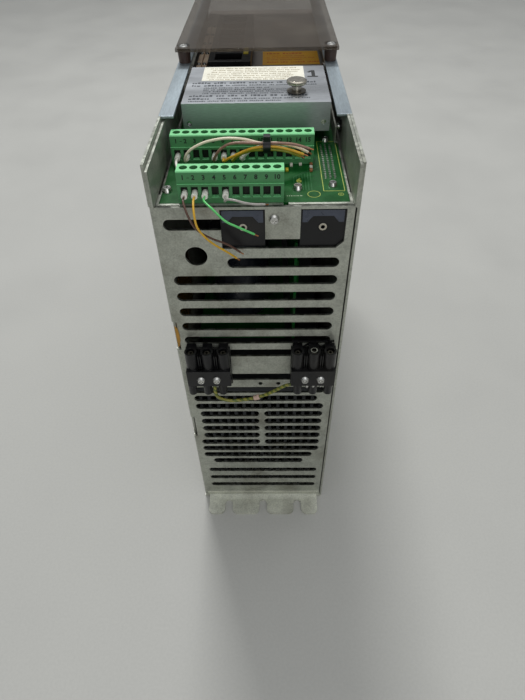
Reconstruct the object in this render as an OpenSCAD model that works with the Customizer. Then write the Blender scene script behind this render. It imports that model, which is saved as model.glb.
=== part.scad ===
// Modular servo drive for a control cabinet, lying on its mounting plate with its front panel up.
// Origin: bottom centre. +Z runs from the mounting plate to the front, +Y runs up the wall it hangs on.

/* [Housing] */
// Width across the side walls
body_w = 105; // [103:0.5:107]
// Length along the wall, without the mounting flanges
body_l = 354; // [352:1:360]
// Height of both end grilles above the floor
grille_top = 293.5; // [293.5:0.5:294.5]
// Height of the side walls, where the front rails sit
wall_top = 316; // [315:0.5:318]
// Thickness of the housing sheets
sheet = 1.5; // [1:0.1:1.6]
// Length of each mounting flange
flange_l = 18; // [16:0.5:20]
// Distance between neighbouring mounting holes
hole_pitch = 30.5; // [28:0.5:32]
// Diameter of the mounting holes and notches
hole_d = 7; // [5:0.5:8]

/* [Cooling slots] */
// Height of the wide slots
wide_slot = 6.4; // [4:0.1:7]
// Pitch of the wide slots
wide_pitch = 11.8; // [11:0.1:12]
// Height of the narrow slots
narrow_slot = 6.3; // [4:0.1:6.5]
// Pitch of the narrow slots
narrow_pitch = 9.08; // [8.5:0.01:9.2]

/* [Terminal strips] */
// Distance between neighbouring poles
pole_pitch = 5.08; // [5:0.01:5.2]
// Number of poles on the rear strip
x5_poles = 15; // [12:1:15]
// Number of poles on the near strip
x6_poles = 10; // [8:1:10]
// Diameter of the clamp screw holes
clamp_hole_d = 4.1; // [3.8:0.1:4.3]

/* [Programming module] */
// Width of the module
module_w = 84; // [80:0.5:85]
// Length of the module
module_l = 61.3; // [60:0.1:62]
// Diameter of the thumbscrew head
thumb_d = 11.5; // [9:0.5:13]

/* [Front cover] */
// Length of the smoked cover
cover_l = 212; // [200:1:214]
// Thickness of the smoked cover
cover_t = 2; // [1.8:0.1:2.5]

/* [Fan] */
// Side of the square fan frame
fan_side = 92; // [90:0.5:94]
// Number of fan blades
blades = 7; // [5:1:9]

/* [Cables] */
// Outer diameter of the wires in the bundle
wire_d = 1.4; // [1.2:0.1:1.5]
// Outer diameter of the wires that hang loose over the edge
loose_wire_d = 1.1; // [0.9:0.1:1.3]
// Outer diameter of the earth jumper
jumper_d = 2.2; // [1.8:0.1:2.6]

/* [Hidden] */
$fn = 48;

// Main planes
half_w = body_w / 2;
face = -body_l / 2;
far_face = body_l / 2;
plate_t = 2;
base_top = 2 * plate_t;
flange_half = 48.2;
seam = 0.8;
lip_bottom = 6.1;
lip_top = 9.6;
tab_r = 4.5;
notch_y = face - 5 - hole_d / 2;
inner_left = -half_w + sheet;
inner_right = half_w - sheet;
bend_r = 2;
lip_x = [inner_left + 0.8, inner_right - seam];
side_step = face + 56.3;
rail_y1 = far_face - 4;
rail_w = 8.3;
rail_t = 1.5;
liner_x = 49.4;
left_liner_top = 313.3;

// Board and tray
deck_top = grille_top - 1.7;
board_bottom = grille_top - 1.6;
board_top = grille_top;
board_half = 47.7;
board_y0 = face + 4.2;
board_y1 = face + 128;
tray_y1 = face + 137;

// Terminal strips: near face and centre of each
x5_face = face + 44.8;
x5_mid = -7.05;
x6_face = face + 4;
x6_mid = -11.4;
plug_bottom = board_top + 3;
plug_top = board_top + 16.4;
plug_depth = 11.2;
wire_floor = board_top + 3.7;
ferrule_d = 3.1;
ferrule_z = wire_floor + ferrule_d / 2;
ferrule_out = 3.2;
x5_wired = [1, 2, 5, 6, 7, 8];
x6_wired = [1, 2, 3, 5];

// Board connector
conn_x = [37.5, 40.05, 42.6];
conn_rows = 16;
conn_pitch = 2.54;
conn_y = face + 47.8;
conn_screw_y = [face + 21, face + 74.6];
conn_screw_x = 40.6;

// Programming module
module_x = 0.3;
module_y0 = face + 70.6;
module_y1 = module_y0 + module_l;
module_z0 = 301;
module_z1 = 317;
module_wall = 1.2;
thumb_x = 23.5;
thumb_y = face + 87;
contact_y = face + 117;

// Cover and front plate
cover_y0 = face + 138;
cover_z0 = 324;
plate_z = 298.5;
post_x = 48;
post_y = [cover_y0 + 8, cover_y0 + cover_l - 8];

// Supply connectors
supply_y = face - 12;
supply_z = 170;
supply_h = 14;
tower_h = 14;
leg_h = 11;
inlet_x = [-42.3, -32.2, -22.1];
outlet_x = [24.6, 34.7, 44.8];
inlet_leg_shift = -2.3;
outlet_leg_shift = 0.9;

// Inside
fin_z0 = 14;
fin_z1 = 132;
sink_z1 = 142;
fan_z = 74;
fan_t = 25;
fan_y0 = far_face - sheet - fan_t;

// Cable routes, from the exit to the free end
brown_route = [
    [-34.26, -176.2, ferrule_z], [-34.26, -180, ferrule_z], [-33.1, -183.5, 296.7], [-31.1, -186.5, 292.7],
    [-28.1, -186.5, 286.7], [-22.1, -184.5, 280.7], [-14.1, -181.5, 274.7], [-8, -179.5, 268.6]
];
yellow_route = [
    [-29.18, -176.2, ferrule_z], [-29.18, -181, ferrule_z], [-28.6, -186.5, 296.3], [-27.5, -189.5, 290.4],
    [-24.1, -188.7, 283.8], [-19.7, -186.5, 277.7], [-13.8, -184, 271.4], [-9.9, -182, 266.6]
];
green_route = [
    [-24.1, -176.2, ferrule_z], [-24.1, -180, ferrule_z], [-20, -185, 297.5], [-14, -187, 292],
    [-8, -187, 288.5], [0, -185, 283]
];
grey_route = [
    [-13.94, -176.2, ferrule_z], [-13.94, -180.5, ferrule_z], [-12.3, -185, 302.3], [-8.5, -187.5, 303.2],
    [-4, -187, 301.5], [0.5, -184.5, 299.3], [5.3, -180.5, 296.9]
];
cream_route = [
    [-37.53, -135.4, ferrule_z], [-37.53, -138, ferrule_z], [-37.5, -140.4, 300.4], [-36.7, -141.5, 303.3],
    [-33.5, -142, 307],
    [-27, -142.2, 310.4], [-20.5, -142.1, 312], [-13.5, -142, 312.7], [-5, -142, 312], [3, -142, 310],
    [11, -142, 310], [18, -141.6, 308.6], [23, -141.2, 306.9], [28, -140.5, 304.1]
];
loom_brown_route = [
    [-22.29, -135.4, ferrule_z], [-22.29, -138, ferrule_z], [-21.9, -140.4, 300.6], [-20, -142.2, 304.8],
    [-16, -143.5, 309],
    [-10, -143.8, 311], [3, -143.7, 310.6], [11, -143.7, 310.6], [20, -143.4, 309.8], [28.5, -142.6, 307]
];
loom_yellow_route = [
    [-17.21, -135.4, ferrule_z], [-17.21, -138.3, ferrule_z], [-16.3, -141, 300], [-13.8, -142.8, 302.3],
    [-9, -144, 305],
    [-3, -144.4, 307.8], [3, -144.3, 308.9], [11, -144.3, 308.9], [18, -144.2, 307.3], [25.5, -143.6, 304.4]
];
lime_route = [
    [-12.13, -135.4, ferrule_z], [-12.13, -138.3, ferrule_z], [-11.5, -140.7, 300.2], [-9.6, -142.2, 302.8],
    [-6, -142.8, 305],
    [-1.5, -143, 306.6], [3, -143.9, 307.2], [11, -143.9, 307.2], [18, -143.4, 305.6], [24, -142.4, 302.8]
];
white_route = [
    [-7.05, -135.4, ferrule_z], [-7.05, -137.6, ferrule_z], [-6.6, -139.4, 300.3], [-4.8, -140.5, 303.2],
    [-1.5, -141.1, 306], [3, -142.2, 308.3], [11, -142.2, 308.3], [18, -141.4, 306], [23, -140.2, 303.2]
];
short_route = [
    [-42.61, -135.4, ferrule_z], [-42.61, -140, ferrule_z], [-40.5, -148, 296], [-37, -155, 295],
    [-28, -158.2, 295]
];
jumper_route = [
    [-29.6, -186, supply_z], [-29.6, -186, 165.5], [-29.4, -187, 160.5], [-27.5, -187.5, 156.4],
    [-23, -187, 153], [-17, -186.3, 151.5], [-9, -186, 152.5], [-2, -186, 154.6], [6, -185.8, 158.2],
    [12.5, -185.3, 162.6], [17.5, -184.8, 165.6], [22.5, -184.5, 166.5]
];

// ---------- helpers ----------

// Box between two planes on each axis
module span(x, y, z) {
    translate([x[0], y[0], z[0]]) cube([x[1] - x[0], y[1] - y[0], z[1] - z[0]]);
}

// Outline drawn in X and Z, given a thickness along +Y from y0
module upright(y0, t) {
    translate([0, y0 + t, 0]) rotate([90, 0, 0]) linear_extrude(t) children();
}

// Outline drawn in Y and Z, given a length along +X from x0
module along_x(x0, length) {
    translate([x0, 0, 0]) rotate([90, 0, 90]) linear_extrude(length) children();
}

// Copies its child on both sides of the middle plane
module both_sides() {
    children();
    mirror([1, 0, 0]) children();
}

// Round-ended slot outline from x0 to x1 at height z
module slot(x0, x1, z, h) {
    translate([x0 + h / 2, z - h / 2]) square([x1 - x0 - h, h]);
    translate([x0 + h / 2, z]) circle(d = h);
    translate([x1 - h / 2, z]) circle(d = h);
}

// Pan-head screw along +Z: the head sits on z = 0 and the shank goes down
module pan_screw(head_d, head_h, shank_d, shank_l) {
    difference() {
        cylinder(h = head_h, d1 = head_d, d2 = head_d * 0.7);
        translate([0, 0, head_h * 0.5]) cross_recess(head_d * 0.55, head_h);
    }
    translate([0, 0, -shank_l]) cylinder(h = shank_l, d = shank_d);
}

// Cross-shaped recess tool
module cross_recess(size, depth) {
    for (a = [0, 90])
        rotate([0, 0, a]) translate([-size / 2, -size / 10, 0]) cube([size, size / 5, depth]);
}

// Round tube swept along a route; the cross-section is carried without twist
function unit(v) = v / norm(v);
function heading(p, i) = unit(p[min(i + 1, len(p) - 1)] - p[max(i - 1, 0)]);
function flatten_to(n, t) = unit(n - (n * t) * t);
function normals(p, i = 0, n = [1, 0, 0.01]) =
    i >= len(p) ? [] : let (m = flatten_to(n, heading(p, i))) concat([m], normals(p, i + 1, m));
function ring(p, i, n, r, sides) =
    [for (k = [0:sides - 1]) p[i] + r * (cos(360 * k / sides) * n + sin(360 * k / sides) * cross(heading(p, i), n))];
module tube(route, dia) {
    sides = 8;
    n = normals(route);
    last = (len(route) - 1) * sides;
    points = [for (i = [0:len(route) - 1]) each ring(route, i, n[i], dia / 2, sides)];
    walls = [
        for (i = [0:len(route) - 2], k = [0:sides - 1])
            let (a = i * sides + k, b = i * sides + (k + 1) % sides) [a, a + sides, b + sides, b]
    ];
    start_cap = [for (k = [0:sides - 1]) k];
    end_cap = [for (k = [sides - 1:-1:0]) last + k];
    polyhedron(points = points, faces = concat([start_cap, end_cap], walls), convexity = 4);
}

// ---------- housing ----------

// Tool that rounds the corner at its origin, of a shape that lies towards +X and +Y
module corner_tool(r) {
    difference() {
        translate([-1, -1]) square(r + 1);
        translate([r, r]) circle(r);
    }
}

module flange_outline() {
    difference() {
        translate([-flange_half, face - flange_l]) square([2 * flange_half, flange_l + 1]);
        both_sides() translate([-flange_half, face - flange_l]) corner_tool(tab_r);
    }
}

// Open-ended mounting slot with rounded lips
module notch_outline() {
    circle(d = hole_d);
    translate([-hole_d / 2, -flange_l]) square([hole_d, flange_l]);
    both_sides() translate([hole_d / 2, face - flange_l - notch_y]) corner_tool(tab_r);
}

module mounting_plate() {
    color("silver") {
        linear_extrude(plate_t) difference() {
            union() {
                square([body_w, body_l], center = true);
                flange_outline();
                rotate(180) flange_outline();
            }
            for (i = [-1:1]) {
                translate([i * hole_pitch, notch_y]) notch_outline();
                translate([i * hole_pitch, far_face + flange_l / 2]) circle(d = hole_d);
            }
        }
        span([inner_left, inner_right - 0.1], [face, far_face], [plate_t, base_top]);
        along_x(-flange_half, 2 * flange_half)
            polygon([[face - 4, plate_t], [face, plate_t], [face, base_top]]);
        difference() {
            union() {
                span(lip_x, [face + 0.9, face + 2.4], [base_top, lip_top]);
                span(lip_x, [face - 0.3, face + 1], [lip_bottom, lip_top]);
            }
            span([-1.8, -0.6], [face - 1, face + 0.5], [lip_bottom, lip_top + 1]);
        }
    }
}

module wide_rows() {
    slot(-15.5, 45.1, 188.9 + 6 * wide_pitch, wide_slot);
    for (i = [0:5])
        slot(-46.2, 45, 188.9 + i * wide_pitch, wide_slot);
    for (z = [151.5, 165.5])
        slot(-46.2, 45, z, narrow_slot);
}

module narrow_rows() {
    for (i = [0:9]) {
        z = 142.2 - i * narrow_pitch;
        split = i >= 2 && i <= 6;
        x0 = i == 9 ? -39.7 : (i >= 2 && i <= 5) ? -44.3 : -46.8;
        x1 = i == 9 ? 33.5 : (i == 0 || i == 8) ? 40.4 : 45.2;
        if (split) {
            slot(x0, -1, z, narrow_slot);
            slot(2.5, x1, z, narrow_slot);
        } else {
            slot(x0, x1, z, narrow_slot);
        }
    }
    for (i = [0:2])
        slot(-45, 45.6, 45.8 - i * 12.1, narrow_slot - 1);
}

module window_outline() {
    difference() {
        polygon([[-17.5, 269], [42.3, 269], [46.3, 273], [46.3, 292], [-17.5, 292]]);
        translate([5.3, 274.7]) square([18, 20]);
    }
    slot(-46.8, -14, 283.6, wide_slot);
}

// Openings cut through the left front corner
module corner_slots() {
    for (z = [[96, 120], [192.4, 216]])
        span([-half_w - 1, -49.4], [face - 1, face + 4], z);
}

module bottom_grille() {
    color("silver") difference() {
        upright(face, sheet) difference() {
            translate([-half_w + bend_r, lip_top + 0.3])
                square([inner_right - seam + half_w - bend_r, grille_top - lip_top - 0.3]);
            wide_rows();
            narrow_rows();
            window_outline();
            translate([-31.9, 264.3]) circle(d = 12);
            translate([9.9, 286.6]) circle(d = 3.4);
            for (x = [0.5, 12.8])
                translate([x, 158.5]) circle(d = 3);
        }
        corner_slots();
    }
}

module top_grille() {
    color("silver") upright(far_face - sheet, sheet) difference() {
        translate([inner_left + 0.1, base_top])
            square([inner_right - inner_left - 0.3, grille_top - base_top]);
        for (i = [0:10])
            slot(-42, 42, fan_z - 5 * narrow_pitch + i * narrow_pitch, narrow_slot);
        for (i = [0:10])
            slot(-45, 45, 147 + i * wide_pitch, wide_slot);
    }
}

// Side outline with the cheek at full height near the terminals and a step under the rail
module side_outline(y0, z0, top) {
    polygon([
        [y0, z0], [far_face, z0], [far_face, wall_top - rail_t],
        [side_step, wall_top - rail_t], [side_step, top], [y0, top]
    ]);
}

module left_panel() {
    color("silver") difference() {
        union() {
            along_x(-half_w, sheet) side_outline(face + bend_r, plate_t, wall_top);
            translate([-half_w + bend_r, face + bend_r, base_top])
                difference() {
                    cylinder(h = grille_top - base_top, r = bend_r);
                    translate([0, 0, -1]) cylinder(h = grille_top, r = bend_r - sheet);
                    span([0, 9], [-9, 9], [-1, grille_top]);
                    span([-9, 9], [0, 9], [-1, grille_top]);
                }
            span([-half_w, inner_left], [face, face + bend_r], [grille_top + 0.5, wall_top]);
        }
        corner_slots();
    }
}

module right_cover() {
    color("silver") difference() {
        along_x(inner_right, sheet) side_outline(face, plate_t, wall_top);
        side_screw_places() cylinder(h = 9, r1 = 1.7, r2 = 9 + 1.7);
    }
}

// Places of the flush screws that hold the side cover, axis outwards
module side_screw_places() {
    for (y = [face + 12, 0, far_face - 12], z = [14, 282])
        translate([half_w - 1.4, y, z]) rotate([0, 90, 0]) children();
}

module front_rails() {
    color("lightsteelblue") both_sides()
        span([half_w - rail_w, half_w], [side_step, rail_y1], [wall_top - rail_t, wall_top]);
}

module cheek_liners() {
    color("silver") difference() {
        union() {
            span([inner_left + 0.05, -liner_x], [face - 2, tray_y1], [board_top + 0.2, left_liner_top]);
            span([liner_x, inner_right - 0.05], [face - 2, tray_y1], [board_top + 0.2, wall_top]);
        }
        span([-half_w, half_w], [side_step - 0.2, tray_y1 + 1], [wall_top - rail_t - 0.1, wall_top + 1]);
    }
}

module front_tray() {
    color("silver") difference() {
        union() {
            span([-liner_x, liner_x], [face + 12, tray_y1], [deck_top - 1.5, deck_top]);
            span([-liner_x, liner_x], [face + 2.3, face + 3.9], [deck_top + 0.1, board_top + 0.1]);
            both_sides()
                span([board_half + 0.2, liner_x], [face + 2.3, face + 13], [deck_top - 1.5, board_top + 0.1]);
        }
        span([14.5, 17], [face, face + 4.15], [deck_top, board_top + 1]);
        span([33, 47.6], [face + 15, face + 81], [deck_top - 2, deck_top + 1]);
        board_screw_places() cylinder(h = 20, d = 3.4, center = true);
    }
}

module housing_screws() {
    color("gainsboro") {
        translate([9.9, face, 286.6]) rotate([90, 0, 0]) pan_screw(5.6, 1.8, 3, 6);
        side_screw_places() cylinder(h = 1.4, r1 = 1.6, r2 = 3);
    }
}

module socket_block(x, chamfer) {
    y0 = face + sheet;
    translate([x, y0, 269.5]) difference() {
        cube([22.8, 10, 22.2]);
        translate([11.5, -1, 11.4]) rotate([-90, 0, 0]) cylinder(h = 8, d = 5.4);
        translate([4, -1, 20]) cube([14.8, 2, 9]);
        if (chamfer) translate([22.8, 5, 0]) rotate([0, 45, 0]) cube([5, 20, 5], center = true);
    }
    translate([x + 11.5, y0, 280.9]) rotate([-90, 0, 0]) difference() {
        cylinder(h = 7, d = 5.2);
        translate([0, 0, -1]) cylinder(h = 6, d = 2);
    }
}

module socket_blocks() {
    color("#181818") {
        socket_block(-17.6, false);
        socket_block(23.4, true);
    }
}

module insulating_film() {
    color("darkgoldenrod") span([-50.3, -49.9], [face + 2, face + 70], [182, 228]);
}

// ---------- terminal board ----------

module board_screw_places() {
    for (p = [[-45.3, face + 16.7], [22.2, face + 17.7], [-45.3, board_y1 - 8], [45, board_y1 - 8]])
        translate([p[0], p[1], board_top]) children();
}

module connector_screw_places() {
    for (y = conn_screw_y)
        translate([conn_screw_x, y, board_top]) children();
}

module terminal_board() {
    color("darkgreen") difference() {
        span([-board_half, board_half], [board_y0, board_y1], [board_bottom, board_top]);
        board_screw_places() cylinder(h = 9, d = 3.2, center = true);
        connector_screw_places() cylinder(h = 9, d = 2.7, center = true);
        translate([thumb_x, thumb_y, board_top]) cylinder(h = 9, d = 4.4, center = true);
    }
}

module board_screws() {
    color("gainsboro") {
        board_screw_places() pan_screw(5.6, 2.2, 3, 8);
        connector_screw_places() pan_screw(5, 1.9, 2.5, 6);
    }
}

module board_connector() {
    color("dimgray") difference() {
        span([35, 46.2], [face + 18, face + 78], [board_bottom - 9, board_bottom]);
        span([37, 43.5], [face + 26, face + 70], [board_bottom - 10, board_bottom - 3]);
        connector_screw_places() cylinder(h = 30, d = 2.7, center = true);
    }
}

// Tinned pins: the connector's soldered tails and the posts of both headers
module board_pins() {
    color("gainsboro") {
        for (x = conn_x, i = [0:conn_rows - 1])
            translate([x, conn_y + (i - (conn_rows - 1) / 2) * conn_pitch, board_top])
                cylinder(h = 1, d = 1);
        header_posts(x5_face, x5_mid, x5_poles);
        header_posts(x6_face, x6_mid, x6_poles);
    }
}

function pole_x(mid, count, i) = mid + (i - (count + 1) / 2) * pole_pitch;

module header_posts(near, mid, count) {
    for (i = [1:count])
        translate([pole_x(mid, count, i), near + 9.9, plug_bottom - 0.1]) cylinder(h = 6, d = 1);
}

module header(near, mid, count) {
    w = count * pole_pitch + 1.6;
    color("seagreen") {
        span([mid - w / 2, mid + w / 2], [near, near + 12.6], [board_top, plug_bottom - 0.1]);
        span([mid - w / 2, mid + w / 2], [near + 11.6, near + 12.6], [plug_bottom - 0.2, board_top + 10]);
    }
}

// Screw-clamp plug: wires enter its near face, clamp screws open on the top ledge
module plug(near, mid, count) {
    w = count * pole_pitch + 1.6;
    color("mediumseagreen") difference() {
        union() {
            along_x(mid - w / 2, w) polygon([
                [near, plug_bottom], [near, board_top + 10], [near + 0.7, board_top + 10.2],
                [near + 0.7, plug_top - 0.5], [near + 1.2, plug_top], [near + 9, plug_top],
                [near + 9, plug_top - 2.4], [near + plug_depth, plug_top - 2.4],
                [near + plug_depth, plug_bottom]
            ]);
            for (i = [1:count])
                translate([pole_x(mid, count, i) - 1.9, near - 0.8, plug_bottom]) cube([3.8, 1, 0.6]);
        }
        for (i = [1:count]) {
            x = pole_x(mid, count, i);
            span([x - 1.75, x + 1.75], [near - 1, near + 7.5], [wire_floor, wire_floor + 5.2]);
            translate([x, near + 5.2, wire_floor + 6]) cylinder(h = 20, d = clamp_hole_d);
            translate([x, near + 9.9, plug_bottom - 1]) cylinder(h = 8, d = 1.8);
        }
    }
}

module clamp_screws(near, mid, count) {
    color("gainsboro") for (i = [1:count])
        translate([pole_x(mid, count, i), near + 5.2, wire_floor + 6]) difference() {
            cylinder(h = 3, d = clamp_hole_d - 0.5);
            translate([-3, -0.35, 2]) cube([6, 0.7, 2]);
        }
}

module ferrules(near, mid, count, wired) {
    color("ivory") for (i = wired)
        translate([pole_x(mid, count, i), near - ferrule_out, ferrule_z]) rotate([-90, 0, 0])
            cylinder(h = ferrule_out + 6, d = ferrule_d);
}

module x5_header() header(x5_face, x5_mid, x5_poles);
module x5_plug() plug(x5_face, x5_mid, x5_poles);
module x5_clamp_screws() clamp_screws(x5_face, x5_mid, x5_poles);
module x5_ferrules() ferrules(x5_face, x5_mid, x5_poles, x5_wired);
module x6_header() header(x6_face, x6_mid, x6_poles);
module x6_plug() plug(x6_face, x6_mid, x6_poles);
module x6_clamp_screws() clamp_screws(x6_face, x6_mid, x6_poles);
module x6_ferrules() ferrules(x6_face, x6_mid, x6_poles, x6_wired);

// ---------- programming module ----------

module module_case() {
    x = [module_x - module_w / 2, module_x + module_w / 2];
    color("lightgray") difference() {
        span(x, [module_y0, module_y1], [module_z0, module_z1]);
        span(
            [x[0] + module_wall, x[1] - module_wall],
            [module_y0 + module_wall, module_y1 - module_wall], [module_z0 - 1, module_z1 - module_wall]
        );
        translate([thumb_x, thumb_y, module_z1]) cylinder(h = 9, d = 4.6, center = true);
        for (side = [x[0] + 3.6, x[1] - 3.6])
            translate([side, module_y0, 306]) rotate([90, 0, 0]) cylinder(h = 9, d = 3, center = true);
    }
}

module module_base() {
    x = [module_x - module_w / 2 + module_wall + 0.1, module_x + module_w / 2 - module_wall - 0.1];
    y = [module_y0 + module_wall + 0.1, module_y1 - module_wall - 0.1];
    color("gray") difference() {
        span(x, y, [module_z0, module_z0 + 1.5]);
        span([-29, 29], [contact_y - 4, contact_y + 4], [module_z0 - 1, module_z0 + 3]);
        translate([thumb_x, thumb_y, module_z0]) cylinder(h = 9, d = 8, center = true);
    }
}

module module_board() {
    color("darkgreen") difference() {
        span([-38, 38], [module_y0 + 3, module_y1 - 3], [module_z0 + 6, module_z0 + 7.6]);
        translate([thumb_x, thumb_y, module_z0]) cylinder(h = 40, d = 12, center = true);
    }
    color("#202020") for (x = [-26, -8])
        span([x - 7, x + 7], [module_y0 + 12, module_y0 + 40], [module_z0 + 7.6, module_z0 + 11]);
}

// Contact tongue that plugs into the board
module module_plug() {
    color("#303030") {
        span([-26, 26], [contact_y - 1.2, contact_y + 1.2], [board_top + 2, module_z0 + 1]);
        span([-28, 28], [contact_y - 3, contact_y + 3], [module_z0 + 0.5, module_z0 + 6]);
    }
}

module module_socket() {
    color("#303030") difference() {
        span([-30, 30], [contact_y - 4, contact_y + 4], [board_top, module_z0 - 1.2]);
        span([-26.5, 26.5], [contact_y - 1.6, contact_y + 1.6], [board_top + 1.5, module_z0]);
    }
}

module thumbscrew() {
    color("lightgray") translate([thumb_x, thumb_y, 0]) {
        translate([0, 0, module_z1 + 4.2]) difference() {
            union() {
                cylinder(h = 0.5, d1 = thumb_d - 1, d2 = thumb_d);
                translate([0, 0, 0.5]) cylinder(h = 1.4, d = thumb_d);
                translate([0, 0, 1.9]) cylinder(h = 0.5, d1 = thumb_d, d2 = thumb_d - 1.4);
            }
            for (a = [0:9:351])
                rotate([0, 0, a]) translate([thumb_d / 2 + 0.15, 0, -1]) cylinder(h = 9, d = 0.7, $fn = 4);
        }
        translate([0, 0, module_z1 + 0.9]) cylinder(h = 3.3, d = 5.6);
        translate([0, 0, 305.6]) cylinder(h = module_z1 + 0.9 - 305.6, d = 4);
        translate([0, 0, 304.4]) cylinder(h = 1.2, d = 3.2);
        translate([0, 0, board_top + 1]) cylinder(h = 304.4 - board_top - 1, d = 4);
    }
}

// Spring clip in the screw's groove, which keeps it on the module
module thumbscrew_clip() {
    color("dimgray") translate([thumb_x, thumb_y, 304.7]) difference() {
        cylinder(h = 0.6, d = 7.4);
        translate([0, 0, -1]) cylinder(h = 3, d = 3.3);
    }
}

module thumbscrew_washer() {
    color("dimgray") translate([thumb_x, thumb_y, module_z1]) difference() {
        cylinder(h = 0.8, d = 11);
        translate([0, 0, -1]) cylinder(h = 3, d = 4.3);
    }
}

module thumbscrew_standoff() {
    color("gainsboro") translate([thumb_x, thumb_y, board_top]) difference() {
        cylinder(h = 6.5, d = 7, $fn = 6);
        translate([0, 0, -1]) cylinder(h = 9, d = 4.15);
    }
}

// ---------- power side of the front ----------

module front_plate() {
    color("gray") {
        span([-liner_x + 0.2, liner_x - 0.2], [cover_y0, far_face], [plate_z, plate_z + 1.5]);
        span([-liner_x + 0.2, liner_x - 0.2], [cover_y0, cover_y0 + 1.5], [deck_top - 1.5, plate_z]);
        span([-liner_x + 0.2, liner_x - 0.2], [far_face - 1.5, far_face], [grille_top + 0.1, plate_z]);
    }
}

module bus_bars() {
    color("burlywood") for (x = [-43.6, -39.7])
        span([x, x + 3.4], [cover_y0 + 10, cover_y0 + 130], [plate_z + 6, plate_z + 9]);
}

module power_terminals() {
    color("#151515") {
        span([-44.6, -35.3], [cover_y0 + 20, cover_y0 + 120], [plate_z + 1.5, plate_z + 6]);
        difference() {
            span([-33.2, -4.7], [cover_y0 + 10, cover_y0 + 130], [plate_z + 1.5, plate_z + 17]);
            for (i = [0:5])
                span([-29, -10.8], [cover_y0 + 14 + i * 19, cover_y0 + 28 + i * 19], [plate_z + 8, plate_z + 20]);
        }
    }
}

module post_places() {
    for (x = [-post_x, post_x], y = post_y)
        translate([x, y, 0]) children();
}

module front_cover() {
    color("#3a3430") difference() {
        span([-half_w, half_w], [cover_y0, cover_y0 + cover_l], [cover_z0, cover_z0 + cover_t]);
        post_places() translate([0, 0, cover_z0 - 1]) cylinder(h = 9, d = 3.6);
        post_places() translate([0, 0, cover_z0 + cover_t - 1.2]) cylinder(h = 9, d = 8.4);
    }
}

module cover_pillars() {
    color("#3c2c28") post_places() difference() {
        translate([0, 0, wall_top]) cylinder(h = cover_z0 - wall_top, d1 = 7.6, d2 = 8.6);
        translate([0, 0, wall_top - 1]) cylinder(h = 20, d = 3.2);
    }
}

module cover_screws() {
    color("gainsboro") post_places() translate([0, 0, cover_z0 + cover_t - 1.2])
        pan_screw(6.6, 1.2, 3, cover_z0 + cover_t - 1.2 - wall_top);
}

// ---------- supply connectors ----------

module supply_connector(xs, leg_shift) {
    x = [xs[0] - 4, xs[2] + 4];
    color("#1b1b1d") difference() {
        union() {
            span(x, [supply_y, face], [supply_z, supply_z + supply_h]);
            span(x, [face - 2, face], [supply_z - leg_h + 2, supply_z + supply_h + tower_h - 3]);
            for (cx = xs) {
                translate([cx, supply_y + 5, supply_z + supply_h]) cylinder(h = tower_h, d = 7.8);
                span([cx - 3, cx + 3], [supply_y + 5, face], [supply_z + supply_h, supply_z + supply_h + tower_h]);
                translate([cx + leg_shift, supply_y + 4.5, supply_z - leg_h]) cylinder(h = leg_h, d = 5.6);
            }
            for (cx = [(xs[0] + xs[1]) / 2, (xs[1] + xs[2]) / 2], dx = [-1, 0.3])
                span([cx + dx, cx + dx + 0.7], [supply_y + 3, face], [supply_z + supply_h, supply_z + 25]);
        }
        for (cx = xs)
            translate([cx, supply_y + 5, supply_z + supply_h + 3]) cylinder(h = 20, d = 5.2);
        for (cx = xs)
            translate([cx + leg_shift, supply_y + 4.5, supply_z - leg_h - 1]) cylinder(h = 7, d = 3.4);
        supply_screw_places(xs) cylinder(h = 18, d = 2.8, center = true);
    }
}

module supply_screw_places(xs) {
    for (cx = [(xs[0] + xs[1]) / 2, (xs[1] + xs[2]) / 2])
        translate([cx, supply_y, supply_z + 6.3]) rotate([90, 0, 0]) children();
}

module supply_inlet() supply_connector(inlet_x, inlet_leg_shift);
module supply_outlet() supply_connector(outlet_x, outlet_leg_shift);

module supply_screws() {
    color("gainsboro") for (xs = [inlet_x, outlet_x])
        supply_screw_places(xs) pan_screw(5.6, 1.8, 2.6, 8);
}

// ---------- inside ----------

module heat_sink() {
    fins = 15;
    color("slategray") upright(face + 10, fan_y0 - face - 14) {
        translate([-46, fin_z1]) square([92, sink_z1 - fin_z1]);
        for (i = [0:fins - 1])
            translate([-46 + i * 89.6 / (fins - 1), fin_z0 - 10]) square([2.4, fin_z1 - fin_z0 + 10]);
    }
}

module fan_frame() {
    bore = fan_side - 6;
    color("#202020") translate([0, fan_y0, fan_z]) rotate([-90, 0, 0]) {
        difference() {
            translate([-fan_side / 2, -fan_side / 2, 0]) cube([fan_side, fan_side, fan_t]);
            translate([0, 0, -1]) cylinder(h = fan_t + 2, d = bore);
        }
        difference() {
            union() {
                cylinder(h = 3, d = 34);
                for (a = [20:90:290])
                    rotate([0, 0, a]) translate([0, -2, 0]) cube([bore / 2 + 1, 4, 3]);
                cylinder(h = 16, d = 8);
            }
            translate([0, 0, -1]) cylinder(h = 40, d = 3.1);
        }
    }
}

module fan_rotor() {
    color("#101010") translate([0, fan_y0, fan_z]) rotate([-90, 0, 0]) {
        difference() {
            translate([0, 0, 3.6]) cylinder(h = 18.4, d = 36);
            translate([0, 0, 3]) cylinder(h = 14, d = 32);
        }
        translate([0, 0, 2]) cylinder(h = 16, d = 3);
        intersection() {
            for (i = [0:blades - 1])
                rotate([0, 0, i * 360 / blades]) translate([17.5, 0, 13]) rotate([38, 0, 0])
                    translate([0, -12, -0.8]) cube([25, 24, 1.6]);
            translate([0, 0, 4.5]) cylinder(h = 17, d = fan_side - 9);
        }
    }
}

module power_modules() {
    color("#d8d4c4") for (y = [-110, -50, 10])
        span([-40, 12], [y, y + 34], [sink_z1, sink_z1 + 24]);
}

module power_board() {
    color("darkgreen") span([-44, 18], [-140, 90], [sink_z1 + 24, sink_z1 + 25.6]);
}

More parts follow.
